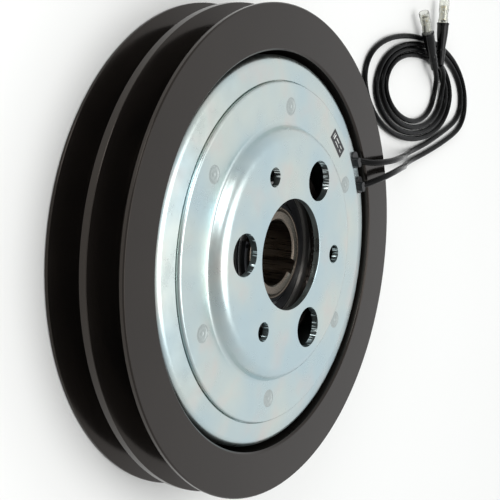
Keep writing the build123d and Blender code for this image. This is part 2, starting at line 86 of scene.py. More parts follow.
SHELL_R = 85.2
SHELL_BORE_R = 55.5
SHELL_REAR = 38.3
SHELL_CORNER_Z = 36.4
SHELL_FRONT = 17.6
POLE_WALL = 5.0
CAVITY_END = 30.5
PLATE_R = 74.0
PLATE_SEAT_R = 74.3
PLATE_UNDER = 37.05
PLATE_REAR = 40.05
PLATE_THICKNESS = 3.0
HOLES_IN_CIRCLE = 3
DOME_TOP = 46.4
DOME_TOP_R = 53.0
DOME_BASE_R = 55.5
PILOT_R = 24.1
HOLE_CIRCLE_R = 37.5
BOLT_HOLE_R = 4.2
BOLT_HOLE_AZIMUTH = 93.7
ACCESS_HOLE_R = 9.0
ACCESS_HOLE_AZIMUTH = 33.7
WELD_CIRCLE_R = 63.5
WELD_AZIMUTH = 3.7
WELD_R = 3.9
WELD_DEPTH = 0.4
WELDS = 6
LABEL_CIRCLE_R = 67.2
LABEL_AZIMUTH = 142.4
LABEL_LENGTH = 13.5
LABEL_WIDTH = 5.6
LABEL_FILM = 0.1
LABEL_INK = 0.02
GROMMET_AZIMUTHS = (126.971, 117.503)
GROMMET_R = 80.0
GROMMET_LENGTH = 8.4
GROMMET_WIDTH = 5.2
GROMMET_TOP = 38.4
GROMMET_DEPTH = 3.4
HOOD_BACK_R = 76.6
HOOD_FRONT_R = 79.4
HOOD_HALF_WIDTH = 2.4
HOOD_TOP = 41.4
HOOD_ROOT = 0.8

HUB_FRONT = 1.2
HUB_END = 38.4
SHAFT_R = 14.2875
BEARING_SEAT_R = 20.0
HUB_SHOULDER_R = 24.0
SPIGOT_R = 18.0
FLANGE_REAR = 6.8
KEY_WIDTH = 6.35
KEY_TOP = 17.1
KEY_AZIMUTH = 70.0
SHAFT_RING_GROOVE = 1.85
SHAFT_RING_DEPTH = 1.25

LEAD_D = 3.0
BOOT_LENGTH = 24.5
BOOT_NECK_R = 2.5
BOOT_MOUTH_R = 3.6
SLEEVE_R = 3.0
SLEEVE_WALL = 0.45
SLEEVE_LENGTH = 21.0
SLEEVE_PROUD = 13.0
TERMINAL_R = 2.2
TERMINAL_LENGTH = 18.0
TERMINAL_PROUD = 10.0

SPRING_INNER_R = 32.0
SPRING_OUTER_R = 66.0
SPRING_AZIMUTH = 30.0
SPRING_SWEEP = 52.0
SPRING_WIDTH = 14.0
SPRING_FRONT = 3.0
SPRING_THICKNESS = 0.8
SPRING_HOLE_R = 3.0
SPRINGS = 3
SPRING_CUTS = 16

# ---- camera --------------------------------------------------------------------------------------

CAMERA_BACK = 4.497
CAMERA_UP = 2.687
CAMERA_ELEVATION = 32.03
CAMERA_ROLL = 96.33
CAMERA_LENS = 93.0


def make_camera():
    """Looks at the rear face from low on one side, with the picture turned on its side."""
    camera = bpy.data.objects.new("camera", bpy.data.cameras.new("camera"))
    bpy.context.scene.collection.objects.link(camera)
    camera.data.lens = CAMERA_LENS
    radius = mm(PULLEY_R)
    place = Matrix.Translation((0, -CAMERA_BACK * radius, mm(REAR_FACE) + CAMERA_UP * radius))
    tilt = Matrix.Rotation(math.radians(90 - CAMERA_ELEVATION), 4, "X")
    roll = Matrix.Rotation(math.radians(CAMERA_ROLL), 4, "Z")
    camera.matrix_world = place @ tilt @ roll
    bpy.context.scene.camera = camera


# ---- mesh helpers --------------------------------------------------------------------------------

def polar(radius, azimuth, z=0.0):
    """Point in metres from a radius, azimuth in degrees and height, both lengths in millimetres."""
    angle = math.radians(azimuth)
    return Vector((mm(radius) * math.cos(angle), mm(radius) * math.sin(angle), mm(z)))


def outward(azimuth):
    """Directions away from the shaft axis and round it, at an azimuth in degrees."""
    angle = math.radians(azimuth)
    along = Vector((math.cos(angle), math.sin(angle), 0)).normalized()
    return along, Vector((-along.y, along.x, 0))


def rounded(corners, closed=True):
    """Outline in millimetres from (radius, z, fillet) corners, each fillet drawn as a true arc."""
    outline = []
    count = len(corners)
    for k, (r, z, size) in enumerate(corners):
        here = Vector((r, z))
        if size == 0 or (not closed and k in (0, count - 1)):
            outline.append(here)
            continue
        before = (Vector(corners[k - 1][:2]) - here).normalized()
        after = (Vector(corners[(k + 1) % count][:2]) - here).normalized()
        half = before.angle(after) / 2
        reach = size / math.tan(half)
        centre = here + (before + after).normalized() * size / math.sin(half)
        first = here + before * reach - centre
        last = here + after * reach - centre
        sweep = first.angle_signed(last)
        steps = max(3, math.ceil(abs(math.degrees(sweep)) / 9))
        for step in range(steps + 1):
            turn = Matrix.Rotation(-sweep * step / steps, 2)
            outline.append(centre + turn @ first)
    return outline


def new_piece(name, build):
    """Mesh piece from a function that fills a bmesh."""
    mesh = bpy.data.meshes.new(name)
    body = bmesh.new()
    build(body)
    bmesh.ops.remove_doubles(body, verts=body.verts, dist=mm(0.0005))
    bmesh.ops.recalc_face_normals(body, faces=body.faces)
    body.to_mesh(mesh)
    body.free()
    mesh.polygons.foreach_set("use_smooth", [True] * len(mesh.polygons))
    piece = bpy.data.objects.new(name, mesh)
    bpy.context.scene.collection.objects.link(piece)
    return piece


def turned(name, outline, steps=256):
    """Solid turned about Z from a closed outline of (radius, z) in millimetres."""

    def build(body):
        rings = []
        for k in range(steps):
            angle = 2 * math.pi * k / steps
            across = (math.cos(angle), math.sin(angle))
            rings.append([body.verts.new((mm(r) * across[0], mm(r) * across[1], mm(z))) for r, z in outline])
        for k in range(steps):
            this, following = rings[k], rings[(k + 1) % steps]
            for i in range(len(outline)):
                j = (i + 1) % len(outline)
                body.faces.new((this[i], this[j], following[j], following[i]))

    return new_piece(name, build)


def prism(name, outline, low, high):
    """Upright solid from a closed plan outline in metres, between two heights in millimetres."""

    def build(body):
        bottom = [body.verts.new((x, y, mm(low))) for x, y in outline]
        top = [body.verts.new((x, y, mm(high))) for x, y in outline]
        body.faces.new(bottom[::-1])
        body.faces.new(top)
        for k in range(len(outline)):
            j = (k + 1) % len(outline)
            body.faces.new((bottom[k], bottom[j], top[j], top[k]))

    return new_piece(name, build)


def circle_plan(centre, radius, steps=72):
    """Plan outline of a round hole."""
    outline = []
    for k in range(steps):
        angle = 2 * math.pi * k / steps
        outline.append((centre.x + mm(radius) * math.cos(angle), centre.y + mm(radius) * math.sin(angle)))
    return outline


def arc_slot_plan(radius, width, arc, azimuth, steps=40, end_steps=12):
    """Plan outline of a curved slot about the shaft axis, with round ends."""
    outline = []
    half = math.degrees(width / 2 / radius)
    first, last = azimuth - arc / 2, azimuth + arc / 2
    for k in range(steps + 1):
        outline.append(polar(radius + width / 2, first + (last - first) * k / steps)[:2])
    for k in range(1, end_steps):
        swing = math.pi * k / end_steps
        outline.append(polar(radius + width / 2 * math.cos(swing), last + half * math.sin(swing))[:2])
    for k in range(steps + 1):
        outline.append(polar(radius - width / 2, last + (first - last) * k / steps)[:2])
    for k in range(1, end_steps):
        swing = math.pi * k / end_steps
        outline.append(polar(radius - width / 2 * math.cos(swing), first - half * math.sin(swing))[:2])
    return outline


def cut(piece, cutters, operation="DIFFERENCE"):
    """Takes the cutters out of the piece, or joins them to it with UNION, for good."""
    for cutter in cutters:
        step = piece.modifiers.new("cut", "BOOLEAN")
        step.operation = operation
        step.solver = "EXACT"
        step.object = cutter
    graph = bpy.context.evaluated_depsgraph_get()
    made = bpy.data.meshes.new_from_object(piece.evaluated_get(graph))
    piece.modifiers.clear()
    piece.data = made
    for cutter in cutters:
        bpy.data.objects.remove(cutter)
    piece.data.polygons.foreach_set("use_smooth", [True] * len(piece.data.polygons))


def soften_edges(piece, width=0.25, segments=3, angle=32):
    """Breaks every sharp edge by a small round, in millimetres, so that it catches the light."""
    bevel = piece.modifiers.new("broken_edges", "BEVEL")
    bevel.width = mm(width)
    bevel.segments = segments
    bevel.limit_method = "ANGLE"
    bevel.angle_limit = math.radians(angle)
    normals = piece.modifiers.new("face_normals", "WEIGHTED_NORMAL")
    normals.keep_sharp = True


def dress(piece, body, material, nodes=()):
    """Puts a piece on its body, with its finish, in place of its CAD nodes."""
    piece.data.materials.clear()
    piece.data.materials.append(material)
    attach(piece, body)
    if nodes:
        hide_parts(*nodes)
    return piece


# ---- material helpers ----------------------------------------------------------------------------

def srgb(text):
    """Linear colour from an sRGB hex value."""
    channels = [int(text[k : k + 2], 16) / 255 for k in (0, 2, 4)]
    linear = [c / 12.92 if c <= 0.04045 else ((c + 0.055) / 1.055) ** 2.4 for c in channels]
    return (*linear, 1.0)


def add(tree, kind, settings=None, links=None):
    """Adds one node, with its settings and the sockets that feed it."""
    node = tree.nodes.new(kind)
    for key, value in (settings or {}).items():
        if isinstance(key, str) and hasattr(node, key):
            setattr(node, key, value)
        else:
            node.inputs[key].default_value = value
    for key, source in (links or {}).items():
        tree.links.new(source, node.inputs[key])
    return node


def new_material(name, colour, roughness, metallic=0.0, **extra):
    """Material with one Principled shader, returned with its tree and shader."""
    material = bpy.data.materials.new(name)
    material.use_nodes = True
    tree = material.node_tree
    tree.nodes.clear()
    shader = add(tree, "ShaderNodeBsdfPrincipled", {"Base Color": srgb(colour), "Roughness": roughness})
    shader.inputs["Metallic"].default_value = metallic
    for key, value in extra.items():
        shader.inputs[key.replace("_", " ")].default_value = value
    add(tree, "ShaderNodeOutputMaterial", links={"Surface": shader.outputs[0]})
    place = add(tree, "ShaderNodeTexCoord").outputs["Object"]
    return material, tree, shader, place


def grain(tree, place, size, detail=3.0, roughness=0.5):
    """Noise whose features are about size millimetres across."""
    settings = {"Scale": 1 / mm(size), "Detail": detail, "Roughness": roughness}
    return add(tree, "ShaderNodeTexNoise", settings, {"Vector": place}).outputs["Fac"]


def drawn_out(tree, place, shares):
    """Place with each axis scaled, so that a grain is drawn out along the axis with the small share."""
    settings = {"operation": "MULTIPLY", 1: shares}
    return add(tree, "ShaderNodeVectorMath", settings, {0: place}).outputs[0]


def shaft_radius(tree, place):
    """Distance from the shaft axis, in metres."""
    flat = drawn_out(tree, place, (1, 1, 0))
    return add(tree, "ShaderNodeVectorMath", {"operation": "LENGTH"}, {0: flat}).outputs["Value"]


def turning_marks(tree, place, pitch):
    """Fine rings left by a lathe tool, pitch millimetres apart, uneven from ring to ring."""
    radius = shaft_radius(tree, place)
    settings = {"noise_dimensions": "1D", "Scale": 1 / mm(pitch), "Detail": 2.0}
    return add(tree, "ShaderNodeTexNoise", settings, {"W": radius}).outputs["Fac"]


def spread(tree, value, low, high, out_low, out_high):
    """Value between low and high taken to between out_low and out_high."""
    settings = {"From Min": low, "From Max": high, "To Min": out_low, "To Max": out_high}
    return add(tree, "ShaderNodeMapRange", settings, {"Value": value}).outputs["Result"]


def two_tone(tree, factor, first, second):
    """Colour between two sRGB hex values."""
    settings = {"data_type": "RGBA", 6: srgb(first), 7: srgb(second)}
    return add(tree, "ShaderNodeMix", settings, {0: factor}).outputs[2]


def relief(tree, shader, height, depth):
    """Bump of the given depth, in millimetres, from a height between 0 and 1."""
    bump = add(tree, "ShaderNodeBump", {"Strength": 1.0, "Distance": mm(depth)}, {"Height": height})
    tree.links.new(bump.outputs[0], shader.inputs["Normal"])


# ---- materials -----------------------------------------------------------------------------------

def black_enamel():
    """Stoving enamel over turned iron: soft reflections, faint lathe rings under it, fine orange peel."""
    material, tree, shader, place = new_material(
        "black_stoving_enamel", "100f0e", 0.16, Specular_IOR_Level=0.44
    )
    shader.inputs["Specular Tint"].default_value = srgb("fff0e4")
    cloud = grain(tree, place, 28.0, 4.0)
    tree.links.new(two_tone(tree, cloud, "0d0c0b", "171412"), shader.inputs["Base Color"])
    peel = grain(tree, place, 1.1, 2.0)
    rings = turning_marks(tree, place, 0.9)
    settings = {"operation": "MULTIPLY_ADD", 1: 0.35}
    height = add(tree, "ShaderNodeMath", settings, {0: rings, 2: peel}).outputs[0]
    relief(tree, shader, height, 0.003)
    tree.links.new(spread(tree, cloud, 0.3, 0.7, 0.12, 0.2), shader.inputs["Roughness"])
    return material


def bright_zinc():
    """Bright zinc plating on pressed steel: near-white, bluish, faintly iridescent, with handling marks."""
    material, tree, shader, place = new_material("bright_zinc_plate", "dfe7e8", 0.3, metallic=1.0)
    wide = grain(tree, place, 34.0, 2.0)
    cool = two_tone(tree, spread(tree, wide, 0.35, 0.65, 0.0, 1.0), "d3e2e6", "e6e9e2")
    blush = grain(tree, place, 17.0, 3.0)
    tint = two_tone(tree, spread(tree, blush, 0.55, 0.75, 0.0, 0.6), "e2e9ea", "ecdfe0")
    settings = {"data_type": "RGBA", "blend_type": "MULTIPLY", 0: 0.9}
    colour = add(tree, "ShaderNodeMix", settings, {6: cool, 7: tint}).outputs[2]
    tree.links.new(colour, shader.inputs["Base Color"])
    fine = grain(tree, place, 0.7, 3.0)
    smudge = grain(tree, place, 9.0, 5.0, 0.65)
    tree.links.new(spread(tree, smudge, 0.3, 0.75, 0.24, 0.42), shader.inputs["Roughness"])
    relief(tree, shader, fine, 0.006)
    return material


def turned_hub_steel():
    """Turned and broached steel with a film of oil: brown-grey, with fine drawn lines along the bore."""
    material, tree, shader, place = new_material("turned_hub_steel", "8d8278", 0.3, metallic=1.0)
    lines = grain(tree, drawn_out(tree, place, (1, 1, 0.04)), 0.5, 3.0)
    tree.links.new(two_tone(tree, lines, "4d453e", "8d8276"), shader.inputs["Base Color"])
    tree.links.new(spread(tree, lines, 0.3, 0.7, 0.22, 0.4), shader.inputs["Roughness"])
    relief(tree, shader, lines, 0.01)
    return material


def ground_steel(name, colour, dark, roughness):
    """Ground bearing steel: grey metal with fine rings from the wheel."""
    material, tree, shader, place = new_material(name, colour, roughness, metallic=1.0)
    rings = turning_marks(tree, place, 0.25)
    tree.links.new(two_tone(tree, rings, dark, colour), shader.inputs["Base Color"])
    relief(tree, shader, rings, 0.003)
    return material


def phosphated_spring_steel():
    """Phosphated spring steel: almost black, with a dry crystalline surface."""
    material, tree, shader, place = new_material("phosphated_spring_steel", "2b2c2e", 0.45, metallic=0.8)
    crystals = grain(tree, place, 0.4, 3.0)
    tree.links.new(two_tone(tree, crystals, "1f2022", "3a3b3e"), shader.inputs["Base Color"])
    relief(tree, shader, crystals, 0.006)
    return material


def blued_spring_strip():
    """Tempered spring strip: blue-grey steel with rolling lines."""
    material, tree, shader, place = new_material("blued_spring_strip", "59626c", 0.3, metallic=1.0)
    lines = grain(tree, drawn_out(tree, place, (0.06, 1, 1)), 0.6)
    tree.links.new(two_tone(tree, lines, "444c56", "6d7680"), shader.inputs["Base Color"])
    relief(tree, shader, lines, 0.004)
    return material


def moulded_rubber(name, colour, roughness):
    """Moulded nitrile rubber: black, slightly dusty, with a fine mould texture."""
    material, tree, shader, place = new_material(name, colour, roughness, Specular_IOR_Level=0.4)
    dust = grain(tree, place, 2.5, 4.0)
    tree.links.new(two_tone(tree, dust, colour, "2a2a2c"), shader.inputs["Base Color"])
    relief(tree, shader, grain(tree, place, 0.35, 2.0), 0.008)
    return material


def extruded_pvc():
    """Extruded PVC wire covering: black, satin, with a faintly uneven skin."""
    material, tree, shader, place = new_material("extruded_pvc", "050505", 0.26, Specular_IOR_Level=0.08)
    scuff = grain(tree, place, 6.0, 4.0)
    tree.links.new(two_tone(tree, scuff, "030303", "080808"), shader.inputs["Base Color"])
    tree.links.new(spread(tree, scuff, 0.3, 0.7, 0.2, 0.32), shader.inputs["Roughness"])
    relief(tree, shader, grain(tree, place, 0.6, 2.0), 0.003)
    return material


def dipped_vinyl():
    """Dip-moulded vinyl boot: wet-looking black gloss with a slightly wavy skin."""
    material, tree, shader, place = new_material(
        "dipped_vinyl", "050505", 0.12, Specular_IOR_Level=0.2, Coat_Weight=0.15, Coat_Roughness=0.05
    )
    waves = grain(tree, place, 2.2, 2.0)
    tree.links.new(spread(tree, waves, 0.3, 0.7, 0.08, 0.2), shader.inputs["Roughness"])
    relief(tree, shader, waves, 0.05)
    return material


def clear_vinyl():
    """Clear vinyl sleeve: thin, almost colourless, slightly milky."""
    material, tree, shader, place = new_material(
        "clear_vinyl", "f4f5f0", 0.12, Transmission_Weight=0.93, IOR=1.45
    )
    haze = grain(tree, place, 1.8, 3.0)
    tree.links.new(spread(tree, haze, 0.35, 0.7, 0.06, 0.3), shader.inputs["Roughness"])
    relief(tree, shader, haze, 0.03)
    return material


def tinned_brass():
    """Tin-plated brass terminal: soft pale metal, brass where the tin is worn."""
    material, tree, shader, place = new_material("tinned_brass", "cfcabb", 0.28, metallic=1.0)
    wear = grain(tree, place, 1.6, 4.0)
    worn = spread(tree, wear, 0.55, 0.7, 0, 1)
    tree.links.new(two_tone(tree, worn, "cdccc4", "c2a868"), shader.inputs["Base Color"])
    relief(tree, shader, grain(tree, place, 0.3, 2.0), 0.006)
    return material


def printed_film():
    """Printed polyester label film: black ink with a slight gloss and a fine screen texture."""
    material, tree, shader, place = new_material("printed_film_black", "0e0f10", 0.35)
    tree.links.new(two_tone(tree, grain(tree, place, 0.5), "0b0c0d", "17181a"), shader.inputs["Base Color"])
    relief(tree, shader, grain(tree, place, 0.2), 0.003)
    return material


def printed_ink():
    """Pale ink on the label, slightly uneven."""
    material, tree, shader, place = new_material("printed_ink_pale", "e4e6e2", 0.5)
    tree.links.new(two_tone(tree, grain(tree, place, 0.4), "cfd2ce", "eef0ec"), shader.inputs["Base Color"])
    return material


def weld_mark():
    """Spot weld under the plating: duller, greyer and rougher than the plate round it."""
    material, tree, shader, place = new_material("spot_weld_mark", "b4bab8", 0.45, metallic=1.0)
    scale = grain(tree, place, 0.8, 4.0)
    tree.links.new(two_tone(tree, scale, "9ca4a2", "c6cecc"), shader.inputs["Base Color"])
    relief(tree, shader, scale, 0.02)
    return material


def enamelled_copper():
    """Enamelled copper wire: red-brown turns with painted shade as dark lines between them, drawn about three
    times too coarse.
    """
    material, tree, shader, place = new_material("enamelled_copper_wire", "8a3f1e", 0.3, metallic=0.9)
    turns_and_painted_shade = add(
        tree,
        "ShaderNodeTexWave",
        {"wave_type": "BANDS", "bands_direction": "Z", "Scale": 1 / mm(5.0), "Distortion": 0.2},
        {"Vector": place},
    ).outputs["Fac"]
    # painted shade: the colour goes dark between the turns, where shade falls, and red-brown on their crests
    tree.links.new(two_tone(tree, turns_and_painted_shade, "4b1d0e", "a8552c"), shader.inputs["Base Color"])
    relief(tree, shader, turns_and_painted_shade, 0.1)
    return material


def moulded_nylon(name, colour, pale):
    """Moulded glass-filled nylon: matt, with fibres just under the skin."""
    material, tree, shader, place = new_material(name, colour, 0.5)
    fibres = grain(tree, place, 0.8, 4.0)
    tree.links.new(two_tone(tree, fibres, colour, pale), shader.inputs["Base Color"])
    relief(tree, shader, fibres, 0.01)
    return material


def cast_resin():
    """Cast epoxy: dark and glossy with slow waves from pouring."""
    material, tree, shader, place = new_material("cast_epoxy", "121212", 0.2)
    waves = grain(tree, place, 7.0, 2.0)
    tree.links.new(two_tone(tree, waves, "0e0e0e", "1a1918"), shader.inputs["Base Color"])
    relief(tree, shader, waves, 0.05)
    return material


def ground_armature_iron():
    """Surface-ground soft iron: grey metal with rings from the grinder and a trace of rust bloom."""
    material, tree, shader, place = new_material("ground_armature_iron", "8c8a86", 0.35, metallic=1.0)
    rings = turning_marks(tree, place, 0.4)
    bloom = grain(tree, place, 12.0, 5.0)
    steel = two_tone(tree, rings, "75736f", "9b9995")
    settings = {"data_type": "RGBA", 7: srgb("7a5f4c")}
    links = {0: spread(tree, bloom, 0.6, 0.8, 0.0, 0.5), 6: steel}
    tree.links.new(add(tree, "ShaderNodeMix", settings, links).outputs[2], shader.inputs["Base Color"])
    relief(tree, shader, rings, 0.006)
    return material


# ---- leads ---------------------------------------------------------------------------------------

# The free stretch of each lead: the same points as its tube has, in metres
LEAD_A_ROUTE = [
    (-0.0478, 0.0635, 0.0400),
    (-0.0476, 0.0700, 0.0424),
    (-0.0490, 0.0795, 0.0442),
    (-0.0512, 0.0910, 0.0442),
    (-0.0542, 0.1045, 0.0418),
    (-0.0572, 0.1240, 0.0344),
    (-0.0594, 0.1490, 0.0230),
    (-0.0624, 0.1750, 0.0102),
    (-0.0665, 0.1970, 0.0020),
    (-0.0736, 0.2180, 0.0016),
    (-0.0826, 0.2380, 0.0016),
    (-0.0906, 0.2540, 0.0016),
    (-0.0966, 0.2616, 0.0016),
]
LEAD_B_ROUTE = [
    (-0.0366, 0.0703, 0.0400),
    (-0.0392, 0.0762, 0.0424),
    (-0.0425, 0.0845, 0.0442),
    (-0.0459, 0.0945, 0.0440),
    (-0.0491, 0.1075, 0.0410),
    (-0.0516, 0.1260, 0.0336),
    (-0.0536, 0.1500, 0.0226),
    (-0.0566, 0.1750, 0.0104),
    (-0.0610, 0.1980, 0.0020),
    (-0.0690, 0.2210, 0.0016),
    (-0.0780, 0.2430, 0.0016),
    (-0.0864, 0.2605, 0.0016),
    (-0.0934, 0.2686, 0.0016),
]

# Where each lead's turns reach furthest, in millimetres (x, y): right, top, left, bottom and round again
LEAD_A_TURNS = (
    (-104.5, 264.4), (-130.4, 212.0), (-99.0, 146.2), (-76.6, 188.0),
    (-104.0, 240.5), (-123.2, 204.0), (-101.5, 158.2), (-83.8, 192.0), (-104.0, 223.5),
)
LEAD_B_TURNS = (
    (-102.4, 271.2), (-134.0, 214.0), (-103.0, 132.0), (-73.0, 185.0),
    (-104.0, 247.0), (-126.6, 206.0), (-101.0, 152.6), (-80.2, 190.0), (-103.5, 233.5),
)
STEPS_IN_QUARTER = 4
LEAD_FLOOR = 1.6
LEAD_A_TAIL = [
    (-0.1105, 0.2215, 0.0028),
    (-0.1146, 0.2165, 0.0050),
    (-0.1173, 0.2106, 0.0062),
]
LEAD_B_TAIL = [
    (-0.1100, 0.2326, 0.0022),
    (-0.1153, 0.2292, 0.0038),
    (-0.1188, 0.2238, 0.0054),
    (-0.1209, 0.2173, 0.0062),
]


def loop_points(turns):
    """Loose turns on the floor: quarter ellipses from each furthest place to the next."""
    points = []
    for k, (first, last) in enumerate(zip(turns, turns[1:])):
        for step in range(STEPS_IN_QUARTER):
            swing = math.pi / 2 * step / STEPS_IN_QUARTER
            going, coming = (math.sin(swing), 1 - math.cos(swing))
            if k % 2:
                going, coming = coming, going
            x = first[0] + (last[0] - first[0]) * going
            y = first[1] + (last[1] - first[1]) * coming
            points.append((mm(x), mm(y), mm(LEAD_FLOOR)))
    points.append((mm(turns[-1][0]), mm(turns[-1][1]), mm(LEAD_FLOOR)))
    return points


def lead_wire(name, points):
    """Round wire along one smooth curve."""
    curve = bpy.data.curves.new(name, "CURVE")
    curve.dimensions = "3D"
    curve.bevel_depth = mm(LEAD_D / 2)
    curve.bevel_resolution = 5
    curve.resolution_u = 10
    curve.use_fill_caps = True
    spline = curve.splines.new("NURBS")
    spline.points.add(len(points) - 1)
    for point, place in zip(spline.points, points):
        point.co = (*place, 1.0)
    spline.order_u = 3
    spline.use_endpoint_u = True
    wire = bpy.data.objects.new(name, curve)
    bpy.context.scene.collection.objects.link(wire)
    return wire


def curve_length(wire):
    """Length of a wire's own line."""
    bare = wire.data.copy()
    bare.bevel_depth = 0
    probe = bpy.data.objects.new("probe", bare)
    line = bpy.data.meshes.new_from_object(probe)
    places = [v.co.copy() for v in line.vertices]
    bpy.data.objects.remove(probe)
    return sum((b - a).length for a, b in zip(places, places[1:]))


# ---- connectors ----------------------------------------------------------------------------------

CONNECTOR_A = (Vector((-0.1173, 0.2106, 0.0062)), Vector((-0.1344, 0.1951, 0.0068)))
CONNECTOR_B = (Vector((-0.1209, 0.2173, 0.0062)), Vector((-0.1450, 0.2136, 0.0068)))


def lay_along(piece, place):
    """Turns a piece made along +Z to lie from a connector's neck towards its aim."""
    neck, aim = place
    turn = (aim - neck).to_track_quat("Z", "Y").to_matrix().to_4x4()
    piece.data.transform(Matrix.Translation(neck) @ turn)


def connector_boot(name, place):
    """Dipped boot: tight neck, waisted flare, rolled mouth, hollow where it grips the sleeve."""
    corners = [
        (LEAD_D / 2 - 0.1, 0.0, 0),
        (BOOT_NECK_R - 0.35, 0.0, 0.3),
        (BOOT_NECK_R - 0.25, 5.0, 0.8),
        (BOOT_NECK_R, 6.2, 0.5),
        (BOOT_NECK_R, 8.4, 0.5),
        (BOOT_NECK_R - 0.2, 9.4, 1.5),
        (BOOT_MOUTH_R - 0.35, BOOT_LENGTH - 6.5, 6.0),
        (BOOT_MOUTH_R - 0.2, BOOT_LENGTH - 1.6, 0.8),
        (BOOT_MOUTH_R, BOOT_LENGTH - 0.9, 0.3),
        (BOOT_MOUTH_R, BOOT_LENGTH, 0.35),
        (SLEEVE_R + 0.02, BOOT_LENGTH, 0.3),
        (SLEEVE_R + 0.02, BOOT_LENGTH - (SLEEVE_LENGTH - SLEEVE_PROUD), 0),
        (LEAD_D / 2 - 0.1, BOOT_LENGTH - (SLEEVE_LENGTH - SLEEVE_PROUD) - 1.0, 0),
    ]
    boot = turned(name, rounded(corners), 64)
    lay_along(boot, place)
    return boot


def connector_sleeve(name, place):
    """Clear sleeve: flared open end, thin wall, slight waist where the terminal's crimp is."""
    start = BOOT_LENGTH - (SLEEVE_LENGTH - SLEEVE_PROUD)
    end = start + SLEEVE_LENGTH
    corners = [
        (SLEEVE_R - SLEEVE_WALL, start, 0),
        (SLEEVE_R, start, 0),
        (SLEEVE_R, start + 9.5, 1.0),
        (SLEEVE_R - 0.35, start + 11.5, 2.0),
        (SLEEVE_R - 0.35, start + 13.0, 2.0),
        (SLEEVE_R, start + 15.0, 1.0),
        (SLEEVE_R, end, 0.2),
        (SLEEVE_R - SLEEVE_WALL, end, 0.2),
        (SLEEVE_R - SLEEVE_WALL, start + 15.0, 1.0),
        (SLEEVE_R - 0.75, start + 13.0, 2.0),
        (SLEEVE_R - 0.75, start + 11.5, 2.0),
        (SLEEVE_R - SLEEVE_WALL, start + 9.5, 1.0),
    ]
    sleeve = turned(name, rounded(corners), 64)
    lay_along(sleeve, place)
    return sleeve


def connector_terminal(name, place):
    """Barrel terminal: rolled socket with a stop groove and an open mouth."""
    start = BOOT_LENGTH + TERMINAL_PROUD - TERMINAL_LENGTH
    end = start + TERMINAL_LENGTH
    corners = [
        (0.0, start, 0),
        (TERMINAL_R - 0.4, start, 0.2),
        (TERMINAL_R - 0.4, start + 6.0, 0.5),
        (TERMINAL_R - 0.7, start + 7.0, 0.5),
        (TERMINAL_R - 0.7, start + 8.5, 0.5),
        (TERMINAL_R, start + 9.5, 0.4),
        (TERMINAL_R, end - 4.0, 0.2),
        (TERMINAL_R - 0.25, end - 3.6, 0.2),
        (TERMINAL_R - 0.25, end - 3.0, 0.2),
        (TERMINAL_R, end - 2.6, 0.2),
        (TERMINAL_R, end, 0.25),
        (TERMINAL_R - 0.6, end, 0.2),
        (TERMINAL_R - 0.6, end - 8.0, 0),
        (0.0, end - 8.5, 0),
    ]
    terminal = turned(name, rounded(corners), 48)
    lay_along(terminal, place)
    return terminal


# ---- pulley, shell, plate, hub -------------------------------------------------------------------

def groove_corners():
    """Rim outline over the two V grooves, from the front land to the rear land."""
    half_flat = GROOVE_TOP / 2 - GROOVE_DEPTH * math.tan(math.radians(GROOVE_HALF_ANGLE))
    corners = []
    for k in range(2):
        middle = FRONT_LAND + GROOVE_TOP / 2 + GROOVE_PITCH * k
        corners.append((PULLEY_R, middle - GROOVE_TOP / 2, 0.3))
        corners.append((PULLEY_R - GROOVE_DEPTH, middle - half_flat, 0.9))
        corners.append((PULLEY_R - GROOVE_DEPTH, middle + half_flat, 0.9))
        corners.append((PULLEY_R, middle + GROOVE_TOP / 2, 0.3))
    return corners


def make_pulley(material):
    """Grooved rim, friction wall with flux slots, and bearing housing."""
    corners = [
        (BEARING_R - 3, WEB_BOSS_FACE, 0.3),
        (WEB_BOSS_R, WEB_BOSS_FACE, 0.4),
        (WEB_BOSS_R, FRICTION_FACE, 0.3),
        (FRONT_RECESS_R, FRICTION_FACE, 1.2),
        (FRONT_RECESS_R, 0.8, 0.2),
        (FRONT_RECESS_R + 0.8, 0.0, 0.3),
        (PULLEY_R - 0.5, 0.0, 0.3),
        (PULLEY_R, 0.5, 0.3),
        *groove_corners(),
        (PULLEY_R, REAR_FACE - 0.5, 0.3),
        (PULLEY_R - 0.5, REAR_FACE, 0.3),
        (RECESS_R + 0.8, REAR_FACE, 0.5),
        (RECESS_R, REAR_FACE - 0.8, 0.5),
        (RECESS_R, FRICTION_REAR, 2.0),
        (HOUSING_R, FRICTION_REAR, 2.0),
        (HOUSING_R, HOUSING_END - 0.8, 0.3),
        (HOUSING_R - 0.8, HOUSING_END, 0.3),
        (BEARING_R + 0.5, HOUSING_END, 0.2),
        (BEARING_R, HOUSING_END - 0.5, 0.2),
        (BEARING_R, BEARING_REAR + BORE_RING_GROOVE, 0),
        (BEARING_R + BORE_RING_DEPTH, BEARING_REAR + BORE_RING_GROOVE, 0),
        (BEARING_R + BORE_RING_DEPTH, BEARING_REAR, 0),
        (BEARING_R, BEARING_REAR, 0),
        (BEARING_R, BEARING_FRONT, 0),
        (BEARING_R - 3, BEARING_FRONT, 0),
    ]
    pulley = turned("pulley", rounded(corners), 320)
    slots = []
    for k in range(FLUX_SLOTS):
        plan = arc_slot_plan(FLUX_SLOT_R, FLUX_SLOT_WIDTH, FLUX_SLOT_ARC, 360 / FLUX_SLOTS * k)
        slots.append(prism(f"slot_{k}", plan, FRICTION_FACE - 2, FRICTION_REAR + 2))
    cut(pulley, slots)
    soften_edges(pulley, 0.2)
    return dress(pulley, "pulley", material, ["rotor_pulley"])


def oval_plan(centre_r, azimuth, length, width, steps=16):
    """Plan outline of an oval whose long side runs round the shaft axis."""
    along, side = outward(azimuth)
    outline = []
    for sign in (1, -1):
        end = along * mm(centre_r) + side * mm(sign * (length - width) / 2)
        for k in range(steps + 1):
            swing = math.pi * k / steps
            across = along * math.cos(swing) * sign + side * math.sin(swing) * sign
            outline.append((end + across * mm(width / 2))[:2])
    return outline


